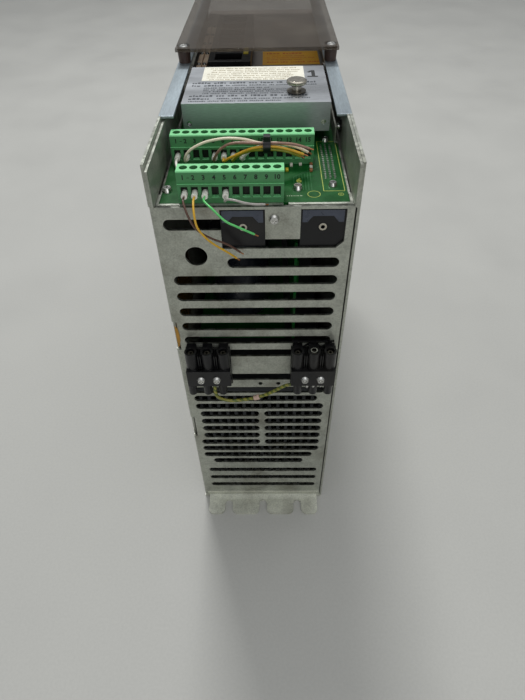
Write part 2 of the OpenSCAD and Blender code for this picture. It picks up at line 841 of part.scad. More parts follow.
module dc_capacitors() {
    color("#20242c") for (y = [-100, -55, -10, 35])
        translate([-14, y, sink_z1 + 25.6]) cylinder(h = 68, d = 40);
}

// Control card standing on edge beside the capacitors
module control_board() {
    color("darkgreen") span([21.2, 22.8], [face + 6, 90], [196, 268]);
    color("#202020") for (y = [-140, -90, -40, 10])
        span([22.8, 26], [y, y + 24], [210, 234]);
}

// ---------- cables ----------

module wire_brown() color("saddlebrown") tube(brown_route, loose_wire_d);
module wire_yellow() color("goldenrod") tube(yellow_route, loose_wire_d);
module wire_green() color("limegreen") tube(green_route, loose_wire_d);
module wire_grey() color("lightgray") tube(grey_route, loose_wire_d);
module loom_cream() color("cornsilk") tube(cream_route, wire_d);
module loom_brown() color("sienna") tube(loom_brown_route, wire_d);
module loom_yellow() color("gold") tube(loom_yellow_route, wire_d);
module loom_lime() color("olivedrab") tube(lime_route, wire_d);
module loom_white() color("white") tube(white_route, wire_d);
module loom_short() color("whitesmoke") tube(short_route, wire_d);
module earth_jumper() color("yellowgreen") tube(jumper_route, jumper_d);

module cable_tie() {
    color("#101010") translate([4.4, -143.2, 308.9]) rotate([0, 90, 0]) difference() {
        union() {
            cylinder(h = 4, r = 3.6);
            translate([-5.6, -2, 0.2]) cube([4, 4, 3.6]);
        }
        translate([0, 0, -1]) cylinder(h = 9, r = 2.8);
    }
}

mounting_plate();
bottom_grille();
top_grille();
left_panel();
right_cover();
front_rails();
cheek_liners();
front_tray();
housing_screws();
socket_blocks();
insulating_film();
terminal_board();
board_screws();
board_connector();
board_pins();
x5_header();
x5_plug();
x5_clamp_screws();
x5_ferrules();
x6_header();
x6_plug();
x6_clamp_screws();
x6_ferrules();
module_case();
module_base();
module_board();
module_plug();
module_socket();
thumbscrew();
thumbscrew_clip();
thumbscrew_washer();
thumbscrew_standoff();
front_plate();
bus_bars();
power_terminals();
front_cover();
cover_pillars();
cover_screws();
supply_inlet();
supply_outlet();
supply_screws();
heat_sink();
fan_frame();
fan_rotor();
power_modules();
power_board();
dc_capacitors();
control_board();
wire_brown();
wire_yellow();
wire_green();
wire_grey();
loom_cream();
loom_brown();
loom_yellow();
loom_lime();
loom_white();
loom_short();
cable_tie();
earth_jumper();
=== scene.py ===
"""Looks of the servo drive: camera, cables, light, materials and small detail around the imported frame.

Lengths are in millimetres until a mesh or curve is made, which scales them to metres.
The camera, the floor and the lights are placed in metres.
"""
import math
import random

import bmesh
import bpy
from mathutils import Matrix, Vector


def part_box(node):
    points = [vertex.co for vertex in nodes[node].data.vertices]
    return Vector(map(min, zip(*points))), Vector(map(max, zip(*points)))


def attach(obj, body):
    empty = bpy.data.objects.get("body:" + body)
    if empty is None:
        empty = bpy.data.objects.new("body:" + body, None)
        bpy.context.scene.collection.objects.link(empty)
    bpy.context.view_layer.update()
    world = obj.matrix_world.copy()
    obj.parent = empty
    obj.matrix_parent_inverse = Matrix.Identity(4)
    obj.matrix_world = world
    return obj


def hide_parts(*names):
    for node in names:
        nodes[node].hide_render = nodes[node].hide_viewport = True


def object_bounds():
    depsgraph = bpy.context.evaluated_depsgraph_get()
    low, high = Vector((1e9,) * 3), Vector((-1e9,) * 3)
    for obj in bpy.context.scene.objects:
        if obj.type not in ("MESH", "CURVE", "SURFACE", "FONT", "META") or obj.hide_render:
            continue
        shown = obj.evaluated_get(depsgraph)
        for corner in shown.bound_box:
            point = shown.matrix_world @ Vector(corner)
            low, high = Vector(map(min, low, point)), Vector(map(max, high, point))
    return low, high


MM = 0.001
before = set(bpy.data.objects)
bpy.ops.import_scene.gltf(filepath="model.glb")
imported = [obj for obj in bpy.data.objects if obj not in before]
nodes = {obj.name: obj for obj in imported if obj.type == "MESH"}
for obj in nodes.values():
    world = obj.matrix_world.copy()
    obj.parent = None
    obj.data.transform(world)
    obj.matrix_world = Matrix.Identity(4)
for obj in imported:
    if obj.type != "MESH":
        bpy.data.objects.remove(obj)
cad_bounds = [list(corner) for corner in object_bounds()]
scene = bpy.context.scene
scene.view_settings.view_transform = "Standard"


def span(node):
    """Lowest and highest corner of a CAD node, in millimetres."""
    low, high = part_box(node)
    return low / MM, high / MM


# ---------- camera ----------

LENS = 25.976
CAMERA_PLACE = (0.008, -0.4009, 0.4242)
# Degrees that a camera looking along +Y is turned: about Z first, then X, then Y
CAMERA_TURNS = {"Z": 0.6387, "X": -46.0967, "Y": 0.4789}


def add_camera():
    data = bpy.data.cameras.new("camera")
    data.lens = LENS
    data.clip_start = 0.01
    camera = bpy.data.objects.new("camera", data)
    scene.collection.objects.link(camera)
    aim = Matrix.Rotation(math.radians(90), 4, "X")
    for axis, degrees in CAMERA_TURNS.items():
        aim = Matrix.Rotation(math.radians(degrees), 4, axis) @ aim
    camera.matrix_world = Matrix.Translation(CAMERA_PLACE) @ aim
    scene.camera = camera


add_camera()


# ---------- materials ----------

def tone(r, g, b):
    """Colour given in 0 to 255 steps as a linear RGBA value."""
    def linear(v):
        v /= 255
        return v / 12.92 if v <= 0.04045 else ((v + 0.055) / 1.055) ** 2.4
    return (linear(r), linear(g), linear(b), 1.0)


class Shader:
    """Principled material whose nodes work in millimetres."""

    def __init__(self, name, stretch=(1, 1, 1)):
        self.material = bpy.data.materials.new(name)
        self.material.use_nodes = True
        self.tree = self.material.node_tree
        self.surface = self.tree.nodes["Principled BSDF"]
        coords = self.tree.nodes.new("ShaderNodeTexCoord")
        mapping = self.tree.nodes.new("ShaderNodeMapping")
        mapping.inputs["Scale"].default_value = [s / MM for s in stretch]
        self.tree.links.new(coords.outputs["Object"], mapping.inputs["Vector"])
        self.place = mapping.outputs["Vector"]

    def join(self, value, socket):
        if isinstance(value, bpy.types.NodeSocket):
            self.tree.links.new(value, socket)
        else:
            socket.default_value = value

    def noise(self, size, detail=4.0):
        node = self.tree.nodes.new("ShaderNodeTexNoise")
        node.inputs["Scale"].default_value = 1 / size
        node.inputs["Detail"].default_value = detail
        self.join(self.place, node.inputs["Vector"])
        return node.outputs["Fac"]

    def cells(self, size):
        node = self.tree.nodes.new("ShaderNodeTexVoronoi")
        node.inputs["Scale"].default_value = 1 / size
        self.join(self.place, node.inputs["Vector"])
        grey = self.tree.nodes.new("ShaderNodeSeparateColor")
        self.join(node.outputs["Color"], grey.inputs["Color"])
        return grey.outputs["Red"]

    def along(self, axis):
        node = self.tree.nodes.new("ShaderNodeSeparateXYZ")
        self.join(self.place, node.inputs["Vector"])
        return node.outputs[axis]

    def facing_up(self):
        """1 on faces that look up, 0 on upright ones: the mask of the painted top light and shade."""
        node = self.tree.nodes.new("ShaderNodeNewGeometry")
        parts = self.tree.nodes.new("ShaderNodeSeparateXYZ")
        self.join(node.outputs["True Normal"], parts.inputs["Vector"])
        return self.scaled(parts.outputs["Z"], 0.5, 0.85, 0, 1)

    def math(self, operation, a, b=0.0):
        node = self.tree.nodes.new("ShaderNodeMath")
        node.operation = operation
        self.join(a, node.inputs[0])
        self.join(b, node.inputs[1])
        return node.outputs[0]

    def scaled(self, value, low, high, to_low, to_high):
        node = self.tree.nodes.new("ShaderNodeMapRange")
        for socket, v in zip(node.inputs, (value, low, high, to_low, to_high)):
            self.join(v, socket)
        return node.outputs["Result"]

    def mix(self, factor, a, b, blend="MIX"):
        node = self.tree.nodes.new("ShaderNodeMix")
        node.data_type = "RGBA"
        node.blend_type = blend
        for socket, v in ((node.inputs[0], factor), (node.inputs[6], a), (node.inputs[7], b)):
            self.join(v, socket)
        return node.outputs[2]

    def bump(self, height, strength, distance):
        node = self.tree.nodes.new("ShaderNodeBump")
        node.inputs["Strength"].default_value = strength
        node.inputs["Distance"].default_value = distance * MM
        self.join(height, node.inputs["Height"])
        self.tree.links.new(node.outputs["Normal"], self.surface.inputs["Normal"])

    def set(self, **values):
        for name, value in values.items():
            self.join(value, self.surface.inputs[name.replace("_", " ").title().replace("Ior", "IOR")])


def shaded(color, amount):
    return tuple(min(1.0, c * amount) for c in color[:3]) + (1.0,)


FINISHES = {}
FLAKE_SIZE = 2.6
DIRT_SIZE = 26


def finish(name, color, rough, metal=0.0, patch=9.0, mottle=0.12, grain=0.6, speck=0.08, bump=0.12,
           depth=0.05, spangle=0.0, stretch=(1, 1, 1), dirt=None, coat=0.0, specular=0.5, painted_top_shading=None):
    """Everyday surface: soft patches, fine grain in colour, roughness and relief, and some dirt.

    Patches and grain are sizes in millimetres. Faces that look up take the painted top shading colour, if
    one is given: painted light or painted shade on those faces.
    """
    s = Shader(name, stretch)
    patches = s.noise(patch)
    fine = s.noise(grain, 2.0)
    base = s.mix(s.scaled(patches, 0.3, 0.7, 0, 1), shaded(color, 1 - mottle), shaded(color, 1 + mottle))
    if painted_top_shading:
        # Painted light and shade: faces that look up take a colour of their own, lighter as painted top
        # light or darker as painted shade
        base = s.mix(s.facing_up(), base, painted_top_shading)
    specked = s.mix(1.0, base, (1 - 2 * speck,) * 3 + (1,), "MULTIPLY")
    base = s.mix(s.scaled(fine, 0.35, 0.65, 0, 1), base, specked)
    rough_low, rough_high = rough * 0.8, min(1, rough * 1.25)
    if spangle:
        flakes = s.cells(FLAKE_SIZE)
        base = s.mix(s.scaled(flakes, 0, 1, 0, spangle), base, shaded(color, 1.5))
        patches = s.math("MULTIPLY", s.math("ADD", patches, flakes), 0.5)
    if dirt:
        shade, share = dirt
        marks = s.scaled(s.noise(DIRT_SIZE, 9.0), 0.5, 0.78, 0, share)
        base = s.mix(marks, base, shade)
    s.set(Base_Color=base, Metallic=metal, Roughness=s.scaled(patches, 0.3, 0.7, rough_low, rough_high))
    s.set(Specular_IOR_Level=specular, Coat_Weight=coat)
    s.bump(fine, bump, depth)
    FINISHES[name] = s.material


def zinc(name, color, rough, metal, spangle, dust, painted_top_shading=None):
    """Galvanised sheet: soft patches, crystal flakes and dust."""
    finish(name, color, rough, metal, patch=11, mottle=0.13, grain=0.9, speck=0.13, bump=0.16,
           spangle=spangle, dirt=(BROWN_DUST, dust), painted_top_shading=painted_top_shading)


def striped(name, first, second, rough, pitch, share):
    """Two-coloured insulation with a slanted stripe."""
    s = Shader(name)
    slant = s.math("ADD", s.along("X"), s.math("MULTIPLY", s.along("Z"), 1.6))
    step = s.math("FRACT", s.math("DIVIDE", slant, pitch))
    base = s.mix(s.math("GREATER_THAN", step, share), tone(*first), tone(*second))
    base = s.mix(s.scaled(s.noise(5), 0.3, 0.7, 0, 0.35), base, tone(60, 62, 30))
    s.set(Base_Color=base, Roughness=rough)
    s.bump(s.noise(0.8, 2.0), 0.1, 0.04)
    FINISHES[name] = s.material


BROWN_DUST = tone(92, 84, 66)
ZINC = tone(178, 181, 170)
SMOKE_ALPHA = 0.6

# Metals
zinc("zinc_sheet", ZINC, 0.4, 0.7, spangle=0.26, dust=0.5)
finish("zinc_rail", tone(172, 184, 190), 0.36, 0.75, patch=16, mottle=0.08, grain=0.7, stretch=(1, 0.15, 1),
       bump=0.08)
finish("screw_steel", tone(214, 214, 210), 0.24, 1.0, patch=2, mottle=0.12, grain=0.2)
finish("tin", tone(212, 212, 206), 0.3, 1.0, patch=1.5, mottle=0.15, grain=0.2)
finish("module_alu", tone(186, 190, 194), 0.34, 0.8, patch=20, mottle=0.06, grain=0.4, stretch=(0.12, 1, 1),
       bump=0.1, depth=0.03)
finish("nickel", tone(204, 198, 184), 0.22, 1.0, patch=3, mottle=0.1, grain=0.25)
finish("dark_steel", tone(104, 100, 92), 0.35, 1.0, patch=2, mottle=0.2, grain=0.2)
finish("copper", tone(248, 216, 186), 0.4, 0.15, patch=6, mottle=0.18, grain=0.4)
finish("heat_sink_alu", tone(62, 64, 66), 0.55, 0.4, patch=12, mottle=0.12, grain=0.5, stretch=(1, 0.1, 1))

# Mouldings, boards and other parts
finish("black_moulding", tone(15, 15, 17), 0.34, patch=6, mottle=0.25, grain=0.35, bump=0.2,
       dirt=(tone(58, 55, 50), 0.4), specular=0.4)
finish("amber_film", tone(84, 58, 18), 0.3, patch=12, mottle=0.15, bump=0.05)
finish("board_green", tone(4, 84, 26), 0.36, patch=7, mottle=0.24, grain=0.8, speck=0.12, bump=0.08,
       specular=0.25)
# Terminal plastic: painted shade darkens the upright faces, and painted top light lightens the faces that
# look up
finish("terminal_green", tone(74, 140, 88), 0.42, patch=8, mottle=0.06, grain=0.3, speck=0.05, bump=0.14,
       painted_top_shading=tone(128, 216, 146))
finish("ferrule_ivory", tone(255, 252, 242), 0.38, patch=2, mottle=0.05, grain=0.3)
finish("chip_black", tone(26, 26, 27), 0.5, patch=4, mottle=0.2, grain=0.3, bump=0.2)
finish("plate_grey", tone(150, 142, 134), 0.5, 0.2, patch=14, mottle=0.1, grain=0.5)
finish("smoked_acrylic", tone(76, 66, 54), 0.12, patch=30, mottle=0.12, grain=2.0, speck=0.02, bump=0.02,
       specular=0.3, dirt=(tone(120, 112, 98), 0.35))
finish("pillar_brown", tone(66, 50, 44), 0.42, patch=4, mottle=0.15, grain=0.3)
finish("ceramic_white", tone(206, 200, 182), 0.55, patch=7, mottle=0.08, grain=0.4)
finish("can_dark", tone(30, 34, 44), 0.3, patch=10, mottle=0.1, grain=0.5, coat=0.3)
finish("fan_black", tone(22, 22, 23), 0.45, patch=9, mottle=0.2, grain=0.4, bump=0.18)
finish("tie_black", tone(16, 16, 18), 0.35, patch=2, mottle=0.2, grain=0.3)

# Insulation
finish("wire_brown", tone(96, 68, 56), 0.3, patch=3, mottle=0.12, grain=0.4)
finish("wire_yellow", tone(224, 176, 48), 0.3, patch=3, mottle=0.1, grain=0.4)
finish("wire_green", tone(104, 214, 120), 0.3, patch=3, mottle=0.1, grain=0.4)
finish("wire_grey", tone(186, 182, 176), 0.3, patch=3, mottle=0.1, grain=0.4)
finish("wire_cream", tone(246, 236, 208), 0.28, patch=4, mottle=0.06, grain=0.4)
finish("wire_pink_brown", tone(158, 120, 104), 0.3, patch=3, mottle=0.14, grain=0.4)
finish("wire_lime", tone(150, 152, 44), 0.3, patch=3, mottle=0.12, grain=0.4)
finish("wire_white", tone(240, 236, 228), 0.3, patch=3, mottle=0.06, grain=0.4)
striped("earth_stripe", (92, 106, 36), (150, 146, 62), 0.34, 5.5, 0.5)

# Finishes that no slot is named after
# Grille louvres: the faces that look up, the punched edges of the slots, are darkened as painted shade of
# the openings
zinc("zinc_louvre_painted_shade", ZINC, 0.4, 0.7, spangle=0.26, dust=0.6, painted_top_shading=tone(70, 72, 66))
# Mounting plate: its paler zinc colour is painted light, standing for the light the flange catches
zinc("zinc_flange_painted_light", tone(206, 208, 194), 0.45, 0.4, spangle=0.2, dust=0.4)
finish("film_lit", tone(176, 128, 40), 0.3, patch=6, mottle=0.25, bump=0.05)
# Socket frames: black moulding whose bluish grey colour is a painted sheen
finish("moulding_painted_sheen", tone(70, 76, 90), 0.3, patch=5, mottle=0.15, grain=0.4, bump=0.15)
# Clamps in the terminal openings: the clamps are real, and their colour, far darker than dark steel, is
# painted shade of the openings
finish("clamp_painted_shade", tone(34, 36, 32), 0.5, 0.5, patch=1.5, mottle=0.3, grain=0.2)
finish("bare_copper", tone(206, 140, 96), 0.3, 1.0, patch=0.6, mottle=0.2, grain=0.15)
finish("sleeve_pink", tone(206, 176, 160), 0.45, patch=2, mottle=0.1, grain=0.3)
finish("track_green", tone(26, 96, 44), 0.34, patch=4, mottle=0.1)
finish("resistor_brown", tone(146, 92, 50), 0.4, patch=1, mottle=0.2, grain=0.2)
finish("yellow_cap", tone(206, 186, 50), 0.4, patch=4, mottle=0.1, grain=0.3)
finish("white_part", tone(224, 220, 206), 0.45, patch=2, mottle=0.1, grain=0.3)

# Print
finish("ink", tone(16, 20, 18), 0.55, patch=3, mottle=0.2, grain=0.3)
finish("silk", tone(176, 190, 84), 0.5, patch=2, mottle=0.15, grain=0.3)
finish("silk_white", tone(190, 204, 176), 0.5, patch=2, mottle=0.1, grain=0.3)
finish("label_cream", tone(246, 243, 226), 0.5, patch=10, mottle=0.04, grain=0.4)
finish("label_print", tone(150, 134, 92), 0.55, patch=2, mottle=0.2, grain=0.2)
finish("label_orange", tone(255, 186, 8), 0.42, patch=10, mottle=0.06, grain=0.4)
finish("orange_print", tone(232, 122, 8), 0.5, patch=3, mottle=0.15, grain=0.3)
finish("print_grey", tone(58, 64, 72), 0.5, patch=3, mottle=0.15, grain=0.3)

FINISHES["smoked_acrylic"].node_tree.nodes["Principled BSDF"].inputs["Alpha"].default_value = SMOKE_ALPHA

# Zinc sheets with a finish of their own: the grilles' punched edges are darkened as painted shade, the
# mounting plate is paler as painted light
SHEETS = {"bottom_grille": "zinc_louvre_painted_shade", "top_grille": "zinc_louvre_painted_shade", "mounting_plate": "zinc_flange_painted_light"}


# ---------- cables ----------

FERRULE_Z = 298.75
SUPPLY_Z = 170
# Thickness of the cords on each body: the jumper, the loose wires and the loom
CORD_D = {"housing": 2.2, "near_plug": 1.1, "rear_plug": 1.4}
# Bare end of a wire: how far it reaches, and its thickness as a share of the wire's
STRANDS_REACH = 2.4
STRANDS_SHARE = 0.6
# Each cord's body, slot, length and route
ROUTES = {
    "brown_wire": ("near_plug", "wire_brown", 48, [
        (-34.26, -176.2, FERRULE_Z), (-34.26, -180, FERRULE_Z), (-33.1, -183.5, 296.7),
        (-31.1, -186.5, 292.7), (-28.1, -186.5, 286.7), (-22.1, -184.5, 280.7), (-14.1, -181.5, 274.7),
        (-8, -179.5, 268.6)]),
    "yellow_wire": ("near_plug", "wire_yellow", 49, [
        (-29.18, -176.2, FERRULE_Z), (-29.18, -181, FERRULE_Z), (-28.6, -186.5, 296.3),
        (-27.5, -189.5, 290.4), (-24.1, -188.7, 283.8), (-19.7, -186.5, 277.7), (-13.8, -184, 271.4),
        (-9.9, -182, 266.6)]),
    "green_wire": ("near_plug", "wire_green", 36, [
        (-24.1, -176.2, FERRULE_Z), (-24.1, -180, FERRULE_Z), (-20, -185, 297.5), (-14, -187, 292),
        (-8, -187, 288.5), (0, -185, 283)]),
    "grey_wire": ("near_plug", "wire_grey", 32, [
        (-13.94, -176.2, FERRULE_Z), (-13.94, -180.5, FERRULE_Z), (-12.3, -185, 302.3),
        (-8.5, -187.5, 303.2), (-4, -187, 301.5), (0.5, -184.5, 299.3), (5.3, -180.5, 296.9)]),
    "cream_wire": ("rear_plug", "wire_cream", 78, [
        (-37.53, -135.4, FERRULE_Z), (-37.53, -138, FERRULE_Z), (-37.5, -140.4, 300.4),
        (-36.7, -141.5, 303.3), (-33.5, -142, 307), (-27, -142.2, 310.4), (-20.5, -142.1, 312),
        (-13.5, -142, 312.7), (-5, -142, 312), (3, -142, 310), (11, -142, 310), (18, -141.6, 308.6),
        (23, -141.2, 306.9), (28, -140.5, 304.1)]),
    "pink_brown_wire": ("rear_plug", "wire_pink_brown", 62, [
        (-22.29, -135.4, FERRULE_Z), (-22.29, -138, FERRULE_Z), (-21.9, -140.4, 300.6),
        (-20, -142.2, 304.8), (-16, -143.5, 309), (-10, -143.8, 311), (3, -143.7, 310.6),
        (11, -143.7, 310.6), (20, -143.4, 309.8), (28.5, -142.6, 307)]),
    "gold_wire": ("rear_plug", "wire_yellow", 52, [
        (-17.21, -135.4, FERRULE_Z), (-17.21, -138.3, FERRULE_Z), (-16.3, -141, 300),
        (-13.8, -142.8, 302.3), (-9, -144, 305), (-3, -144.4, 307.8), (3, -144.3, 308.9),
        (11, -144.3, 308.9), (18, -144.2, 307.3), (25.5, -143.6, 304.4)]),
    "lime_wire": ("rear_plug", "wire_lime", 45, [
        (-12.13, -135.4, FERRULE_Z), (-12.13, -138.3, FERRULE_Z), (-11.5, -140.7, 300.2),
        (-9.6, -142.2, 302.8), (-6, -142.8, 305), (-1.5, -143, 306.6), (3, -143.9, 307.2),
        (11, -143.9, 307.2), (18, -143.4, 305.6), (24, -142.4, 302.8)]),
    "white_wire": ("rear_plug", "wire_white", 40, [
        (-7.05, -135.4, FERRULE_Z), (-7.05, -137.6, FERRULE_Z), (-6.6, -139.4, 300.3),
        (-4.8, -140.5, 303.2), (-1.5, -141.1, 306), (3, -142.2, 308.3), (11, -142.2, 308.3),
        (18, -141.4, 306), (23, -140.2, 303.2)]),
    "short_wire": ("rear_plug", "wire_white", 31, [
        (-42.61, -135.4, FERRULE_Z), (-42.61, -140, FERRULE_Z), (-40.5, -148, 296), (-37, -155, 295),
        (-28, -158.2, 295)]),
    "jumper": ("housing", "earth_stripe", 69, [
        (-29.6, -186, SUPPLY_Z), (-29.6, -186, 165.5), (-29.4, -187, 160.5), (-27.5, -187.5, 156.4),
        (-23, -187, 153), (-17, -186.3, 151.5), (-9, -186, 152.5), (-2, -186, 154.6), (6, -185.8, 158.2),
        (12.5, -185.3, 162.6), (17.5, -184.8, 165.6), (22.5, -184.5, 166.5)]),
}
STANDS_FOR = {
    "brown_wire": "wire_brown", "yellow_wire": "wire_yellow", "green_wire": "wire_green",
    "grey_wire": "wire_grey", "cream_wire": "loom_cream", "pink_brown_wire": "loom_brown",
    "gold_wire": "loom_yellow", "lime_wire": "loom_lime", "white_wire": "loom_white",
    "short_wire": "loom_short", "jumper": "earth_jumper",
}


def smooth(route):
    """Points of a smooth curve through a route's points, four to a step on a short route or else three."""
    steps = 4 if len(route) < 9 else 3
    p = [Vector(q) for q in route]
    p = [2 * p[0] - p[1]] + p + [2 * p[-1] - p[-2]]
    points = []
    for a, b, c, d in zip(p, p[1:], p[2:], p[3:]):
        for k in range(steps):
            t = k / steps
            points.append(0.5 * (2 * b + (c - a) * t + (2 * a - 5 * b + 4 * c - d) * t ** 2
                                 + (3 * b - a - 3 * c + d) * t ** 3))
    return points + [p[-2]]


def add_curve(name, points, diameter, material):
    """Round cord through the points, with flat ends."""
    curve = bpy.data.curves.new(name, "CURVE")
    curve.dimensions = "3D"
    curve.bevel_depth = diameter / 2 * MM
    curve.bevel_resolution = 4
    curve.use_fill_caps = True
    line = curve.splines.new("POLY")
    line.points.add(len(points) - 1)
    for spot, p in zip(line.points, points):
        spot.co = (*(Vector(p) * MM), 1)
    curve.materials.append(material)
    piece = bpy.data.objects.new(name, curve)
    scene.collection.objects.link(piece)
    return piece


def add_strands(name, body, points, diameter):
    """Bare copper past a wire's last point."""
    tip = points[-1] + (points[-1] - points[-2]).normalized() * STRANDS_REACH
    strands = add_curve(name + "_strands", [points[-1], tip], diameter * STRANDS_SHARE,
                        FINISHES["bare_copper"])
    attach(strands, body)
    return strands


def add_cord(name):
    body, slot, length, route = ROUTES[name]
    points = smooth(route)
    diameter = CORD_D[body]
    piece = add_curve(name, points, diameter, FINISHES[slot])
    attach(piece, body)
    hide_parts(STANDS_FOR[name])
    # The tie is put in the extras of the loom's longest wire; nothing reads the extras
    extras = ["cable_tie"] if name == "cream_wire" else []
    far_end = "object" if name == "jumper" else "bare"
    if far_end == "bare":
        extras.append(add_strands(name, body, points, diameter))


for cord_name in ROUTES:
    add_cord(cord_name)


# ---------- floor and light ----------

FLOOR_HALF = 4
SKY_LOW, SKY_HIGH, SKY_STRENGTH = (0.30, 0.31, 0.31, 1), (0.95, 0.97, 1.0, 1), 0.55


def add_stage():
    floor = bmesh.new()
    bmesh.ops.create_grid(floor, x_segments=1, y_segments=1, size=FLOOR_HALF)
    mesh = bpy.data.meshes.new("floor")
    floor.to_mesh(mesh)
    piece = bpy.data.objects.new("floor", mesh)
    piece.location.z = cad_bounds[0][2]
    scene.collection.objects.link(piece)
    finish("floor_paint", tone(184, 184, 179), 0.7, patch=120, mottle=0.04, grain=2, speck=0.02, bump=0.03)
    mesh.materials.append(FINISHES["floor_paint"])


def add_light(name, place, target, size, power):
    """Rectangular lamp at a place, facing a target."""
    data = bpy.data.lights.new(name, "AREA")
    data.shape = "RECTANGLE"
    data.size, data.size_y = size
    data.energy = power
    lamp = bpy.data.objects.new(name, data)
    lamp.location = place
    lamp.rotation_euler = (Vector(target) - Vector(place)).to_track_quat("-Z", "Y").to_euler()
    scene.collection.objects.link(lamp)


def add_sky():
    """Grey surroundings that brighten upwards."""
    world = bpy.data.worlds.new("studio")
    world.use_nodes = True
    scene.world = world
    tree = world.node_tree
    coords = tree.nodes.new("ShaderNodeTexCoord")
    parts = tree.nodes.new("ShaderNodeSeparateXYZ")
    ramp = tree.nodes.new("ShaderNodeValToRGB")
    tree.links.new(coords.outputs["Generated"], parts.inputs["Vector"])
    tree.links.new(parts.outputs["Z"], ramp.inputs["Fac"])
    ramp.color_ramp.elements[0].color = SKY_LOW
    ramp.color_ramp.elements[1].color = SKY_HIGH
    tree.links.new(ramp.outputs["Color"], tree.nodes["Background"].inputs["Color"])
    tree.nodes["Background"].inputs["Strength"].default_value = SKY_STRENGTH


add_stage()
add_sky()
add_light("key", (-0.21, 0.85, 1.85), (0, 0, 0.2), (0.4, 0.4), 20)
add_light("overhead", (0.2, 0.0, 2.0), (0, 0, 0.2), (1.4, 1.4), 5)
add_light("front_fill", (0.5, -1.9, 0.9), (0, -0.1, 0.2), (1.4, 1.0), 6.5)


# ---------- CAD nodes: material and softened edges ----------

# Width of the softened edge by slot
EDGES = {
    "zinc_sheet": 0.22, "zinc_rail": 0.3, "black_moulding": 0.35, "terminal_green": 0.22, "module_alu": 0.45,
    "smoked_acrylic": 0.5, "plate_grey": 0.25, "copper": 0.4, "ceramic_white": 0.4, "chip_black": 0.25,
    "fan_black": 0.5, "board_green": 0.1, "heat_sink_alu": 0.3, "can_dark": 1.2, "nickel": 0.12,
    "screw_steel": 0.12, "ferrule_ivory": 0.25, "tie_black": 0.3, "pillar_brown": 0.2, "dark_steel": 0.1,
}


FLAT_DEGREES = 0.5
SHARP_DEGREES = 35


def soften(piece, width):
    """Bevel on every sharp edge, with shading that keeps the flats flat."""
    weld = piece.modifiers.new("weld", "WELD")
    weld.merge_threshold = 1e-6
    flat = piece.modifiers.new("flat", "DECIMATE")
    flat.decimate_type = "DISSOLVE"
    flat.angle_limit = math.radians(FLAT_DEGREES)
    bevel = piece.modifiers.new("edges", "BEVEL")
    bevel.width = width * MM
    bevel.segments = 2
    bevel.limit_method = "ANGLE"
    bevel.angle_limit = math.radians(SHARP_DEGREES)
    bevel.harden_normals = False
    piece.modifiers.new("normals", "WEIGHTED_NORMAL").keep_sharp = True


for node_name, node_piece in nodes.items():
    if node_name in STANDS_FOR.values():
        continue
    slot_name = node_piece.data.materials[0].name.split(".")[0]
    node_piece.data.materials[0] = FINISHES[SHEETS.get(node_name, slot_name)]
    if slot_name in EDGES:
        for face in node_piece.data.polygons:
            face.use_smooth = True
        soften(node_piece, EDGES[slot_name])


# ---------- small pieces ----------

PRINT_THICK = 0.04
AXES = {
    "X": Matrix.Rotation(math.radians(90), 3, "Y"),
    "-X": Matrix.Rotation(math.radians(-90), 3, "Y"),
    "Y": Matrix.Rotation(math.radians(-90), 3, "X"),
    "Z": Matrix.Identity(3),
}


